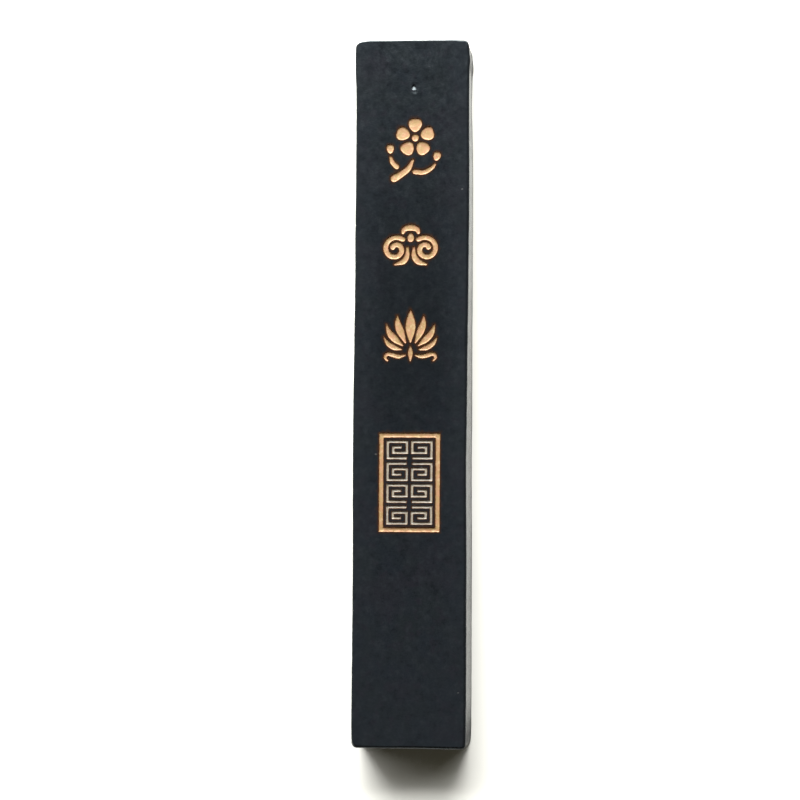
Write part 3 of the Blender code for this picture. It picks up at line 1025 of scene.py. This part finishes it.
def ink_material():
    """Pressed ink: a near-black body with a faint blue-green cast and dusty specks, and painted sheen and
    shade.
    """
    made, graph = new_material("pressed_ink_look")
    noise = graph.noises(INK_NOISE)
    colour = INK_BLUE
    for name, start, full, strength, tint in INK_WASHES:
        colour = graph.mix(graph.span(noise[name], start, full, 0, strength), colour, tint)
    # Painted sheen and shade: lighter long sides and foot end, a darker middle, and a darker softened edge.
    for name, strength, tint in PAINTED_INK_SHADING:
        colour = graph.mix(graph.math("MULTIPLY", graph.value(name), strength), colour, tint)
    cells = {"Vector": graph.place(DUST_STRETCH), "Scale": DUST_SCALE}
    dust = graph.node("ShaderNodeTexVoronoi", cells)
    shade = graph.node("ShaderNodeSeparateColor", {"Color": dust.outputs["Color"]}).outputs[0]
    radius = graph.span(shade, *DUST_SHADES, 0, DUST_RADIUS)
    speck = graph.math("LESS_THAN", dust.outputs["Distance"], radius)
    colour = graph.mix(graph.math("MULTIPLY", speck, DUST_STRENGTH), colour, DUST)
    rough = graph.span(noise["mottled"], *NOISE_MIDDLE, *INK_ROUGHNESS)
    rough = graph.span(graph.value("polish"), 0, 1, rough, POLISHED_ROUGHNESS)
    # A painted shade: the dark brown band round each cut, patchy and duller.
    patches = graph.span(noise["mottled"], *CUT_SHADE_PATCHES)
    stain = graph.math("MULTIPLY", graph.value("stained"), patches)
    colour = graph.mix(stain, colour, INK_CUT_SHADE)
    shine = graph.span(stain, 0, 1, INK_SHINE, CUT_EDGE_SHINE)
    dimmed = graph.math("POWER", graph.math("SUBTRACT", 1, graph.value("dull")), DULL_CURVE)
    shine = graph.math("MULTIPLY", shine, graph.math("MAXIMUM", dimmed, LEAST_SHINE))
    normal = graph.bump(noise["mottled"], *MOTTLE_BUMP)
    normal = graph.bump(noise["grain"], *GRAIN_BUMP, normal)
    graph.surface(
        Base_Color=colour, Roughness=rough, Normal=normal, IOR=INK_INDEX, Specular_IOR_Level=shine,
        Specular_Tint=INK_SHEEN,
    )
    return made


def paint_material(name, colours, metallic):
    """Metallic paint brushed into the cut, patchy in colour, and thin and dark along its edges.

    Its colours are the ground, patches, light streaks, and dark flecks and edges.
    """
    made, graph = new_material(name)
    noise = graph.noises(PAINT_NOISE)
    colour, dark = colours[0], colours[-1]
    for (kind, start, full, strength), tint in zip(PAINT_WASHES, colours[1:]):
        colour = graph.mix(graph.span(noise[kind], start, full, 0, strength), colour, tint)
    frayed = graph.span(noise["streaky"], *NOISE_MIDDLE, -FRAYING, FRAYING)
    reach = graph.math("ADD", graph.value("inside"), frayed)
    colour = graph.mix(graph.span(reach, *DARK_EDGE), colour, dark)
    bare = graph.span(reach, *BARE_EDGE)
    colour = graph.mix(bare, colour, INK_BARE)
    shine = graph.span(bare, 0, 1, PAINT_SHINE, CUT_EDGE_SHINE)
    metallic = graph.span(bare, 0, 1, metallic, 0)
    rough = graph.span(noise["flecks"], *NOISE_MIDDLE, *PAINT_ROUGHNESS)
    normal = graph.bump(noise["streaky"], *STREAK_BUMP)
    normal = graph.bump(noise["flecks"], *FLECK_BUMP, normal)
    graph.surface(
        Base_Color=colour, Metallic=metallic, Roughness=rough, Normal=normal, Specular_IOR_Level=shine
    )
    return made


# The stage.


def make_floor():
    """The white table that the stick lies on."""
    mesh = bpy.data.meshes.new("floor")
    signs = ((-1, -1), (1, -1), (1, 1), (-1, 1))
    mesh.from_pydata([(x * FLOOR_REACH, y * FLOOR_REACH, 0) for x, y in signs], [], [(0, 1, 2, 3)])
    floor = bpy.data.objects.new("floor", mesh)
    bpy.context.scene.collection.objects.link(floor)
    material, graph = new_material("white_table")
    graph.surface(Base_Color=FLOOR_COLOUR, Roughness=FLOOR_ROUGHNESS)
    mesh.materials.append(material)


def light_stage():
    """Broad lamps beyond the head end, over a faint even light from all round.

    The camera sees a white backdrop in place of that faint light.
    """
    for name, (power, distance, height, turn, wide, high) in LAMPS.items():
        data = bpy.data.lights.new(name, "AREA")
        data.shape = "RECTANGLE"
        data.energy = power
        data.size, data.size_y = wide, high
        data.color = LAMP_COLOUR
        lamp = bpy.data.objects.new(name, data)
        level = math.cos(height)
        towards = Vector((math.sin(turn) * level, math.cos(turn) * level, math.sin(height)))
        lamp.location = distance * towards - Vector((0, HALF_LENGTH * MM, 0))
        lamp.rotation_euler = towards.to_track_quat("Z", "Y").to_euler()
        lamp.visible_camera = False
        bpy.context.scene.collection.objects.link(lamp)

    world = bpy.data.worlds.new("room")
    world.use_nodes = True
    bpy.context.scene.world = world
    graph = Graph(world.node_tree)
    seen = graph.node("ShaderNodeLightPath").outputs["Is Camera Ray"]
    dim = graph.node("ShaderNodeBackground", {"Color": ROOM_COLOUR, "Strength": ROOM_STRENGTH})
    white = graph.node("ShaderNodeBackground", {"Color": BACKDROP_COLOUR, "Strength": BACKDROP_STRENGTH})
    both = graph.node("ShaderNodeMixShader", {0: seen, 1: dim.outputs[0], 2: white.outputs[0]})
    output = graph.node("ShaderNodeOutputWorld")
    world.node_tree.links.new(both.outputs[0], output.inputs["Surface"])


def make_camera():
    """A camera straight above a table, a little to the right of the stick."""
    data = bpy.data.cameras.new("camera")
    data.angle = CAMERA_ANGLE
    data.clip_start = CAMERA_CLIP
    camera = bpy.data.objects.new("camera", data)
    place, target = Vector(CAMERA_PLACE), Vector(CAMERA_TARGET)
    forward = (target - place).normalized()
    upward = Vector((math.sin(CAMERA_ROLL), math.cos(CAMERA_ROLL), 0))
    right = forward.cross(upward).normalized()
    above = right.cross(forward)
    axes = Matrix((right, above, -forward)).transposed()
    camera.matrix_world = Matrix.Translation(place) @ axes.to_4x4()
    bpy.context.scene.collection.objects.link(camera)
    bpy.context.scene.camera = camera


strokes = {
    node: [smoothed(np.array(loop)) for loop in film_loops(node)] for node in GOLD_NODES + FRET_NODES
}
outline = plan_outline()
edge = edge_width(outline)
face = Face(outline - outward_of(outline) * edge[:, None], strokes)

make_cake(face, strokes, outline, edge, ink_material())
gold = paint_material("gold_look", (GOLD_OCHRE, GOLD_PEACH, GOLD_CREAM, GOLD_DARK), GOLD_METALLIC)
pale_gold = paint_material(
    "pale_gold_look", (PALE_BUFF, PALE_GREY, PALE_CREAM, PALE_DARK), PALE_METALLIC
)
for node in GOLD_NODES:
    make_film(face, node, gold, "gold_paint")
for node in FRET_NODES:
    make_film(face, node, pale_gold, "pale_gold_paint")

make_floor()
light_stage()
make_camera()
bpy.context.scene.view_settings.view_transform = "Standard"
